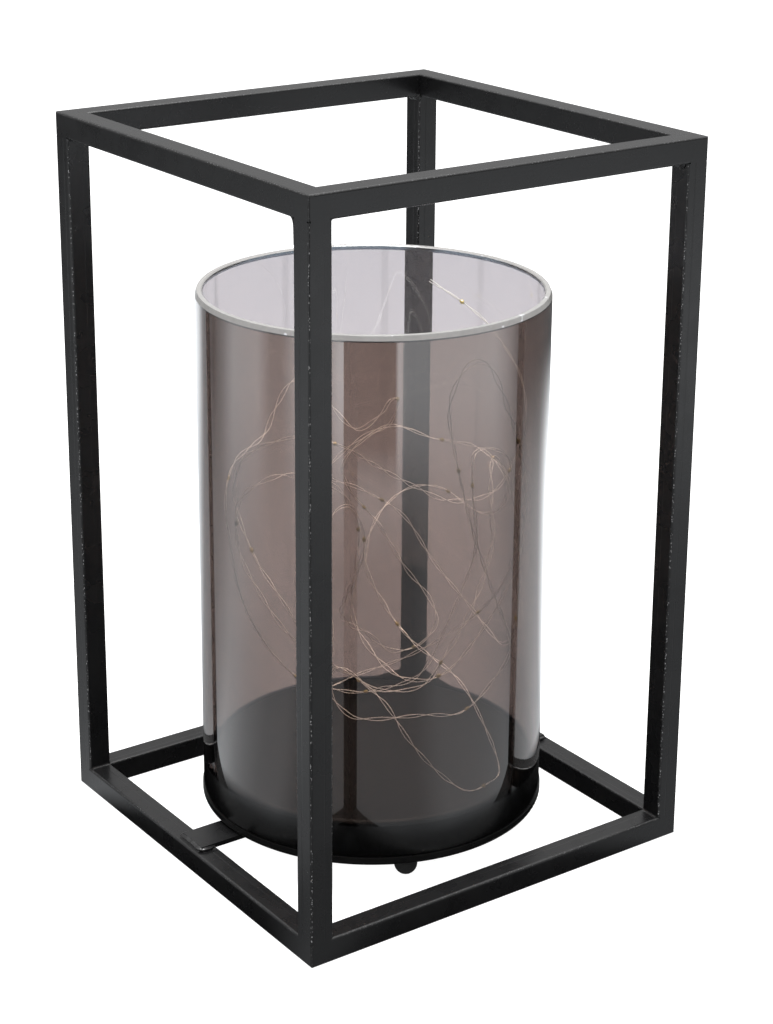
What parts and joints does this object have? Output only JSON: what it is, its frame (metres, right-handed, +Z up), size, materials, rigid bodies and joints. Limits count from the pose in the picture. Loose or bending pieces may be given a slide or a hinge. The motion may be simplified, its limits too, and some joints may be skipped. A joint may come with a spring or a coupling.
{
  "type": "lantern table lamp",
  "caption": "Battery lantern lamp: a black square-tube frame round a smoked glass cylinder on a round base, with a micro light wire inside.",
  "frame": {"origin": "middle of the frame's underside, on the surface that it stands on", "axes": "+Z up through the glass, +X along the cross strip to the right, +Y to the back"},
  "size_m": [0.185, 0.185, 0.3],
  "materials": {
    "frame_paint": "satin black powder coat",
    "base_plastic": "fine satin black moulding",
    "cover_plastic": "matt black moulding",
    "door_plastic": "fine satin black moulding",
    "foot_rubber": "matt",
    "screw_steel": "zinc plated",
    "cell_wrap": "shrink sleeve over steel",
    "contact_metal": "nickel plated",
    "board_green": "solder mask",
    "chip_black": "matt",
    "switch_shell": "tinned",
    "knob_plastic": "matt",
    "lead_sleeve": "PVC",
    "gland_rubber": "matt",
    "light_copper": "lacquered copper",
    "bead_resin": "clear yellowish resin",
    "smoked_glass": "polished, smoke tinted"
  },
  "bodies": {
    "lantern": {"top_rail_front": "frame_paint", "top_rail_back": "frame_paint", "top_rail_left": "frame_paint", "top_rail_right": "frame_paint", "bottom_rail_front": "frame_paint", "bottom_rail_back": "frame_paint", "bottom_rail_left": "frame_paint", "bottom_rail_right": "frame_paint", "post_front_left": "frame_paint", "post_front_right": "frame_paint", "post_back_left": "frame_paint", "post_back_right": "frame_paint", "cross_strip": "frame_paint", "corner_welds": "frame_paint", "strip_screw": "screw_steel", "base_pan": "base_plastic", "base_cover": "cover_plastic", "case_screws": "screw_steel", "base_feet": "foot_rubber", "battery_cell_1": "cell_wrap", "battery_cell_2": "cell_wrap", "contact_plates": "contact_metal", "contact_springs": "contact_metal", "circuit_board": "board_green", "board_parts": "chip_black", "board_screws": "screw_steel", "switch_body": "switch_shell", "battery_leads": "lead_sleeve", "wire_gland": "gland_rubber", "light_wire": "light_copper", "light_beads": "bead_resin"},
    "glass": {"glass_cylinder": "smoked_glass"},
    "door": {"battery_door": "door_plastic"},
    "knob": {"switch_knob": "knob_plastic"}
  },
  "joints": [
    {"name": "glass_lift", "type": "slide", "parent": "lantern", "child": "glass", "axis": [0, 0, 1], "range_m": [0, 0.29]},
    {"name": "battery_door_hinge", "type": "hinge", "parent": "lantern", "child": "door", "pos_m": [-0.014, 0.0126, 0.0129], "axis": [-1, 0, 0], "range_deg": [0, 100]},
    {"name": "switch_slide", "type": "slide", "parent": "lantern", "child": "knob", "axis": [1, 0, 0], "range_m": [-0.002, 0.002]}
  ]
}
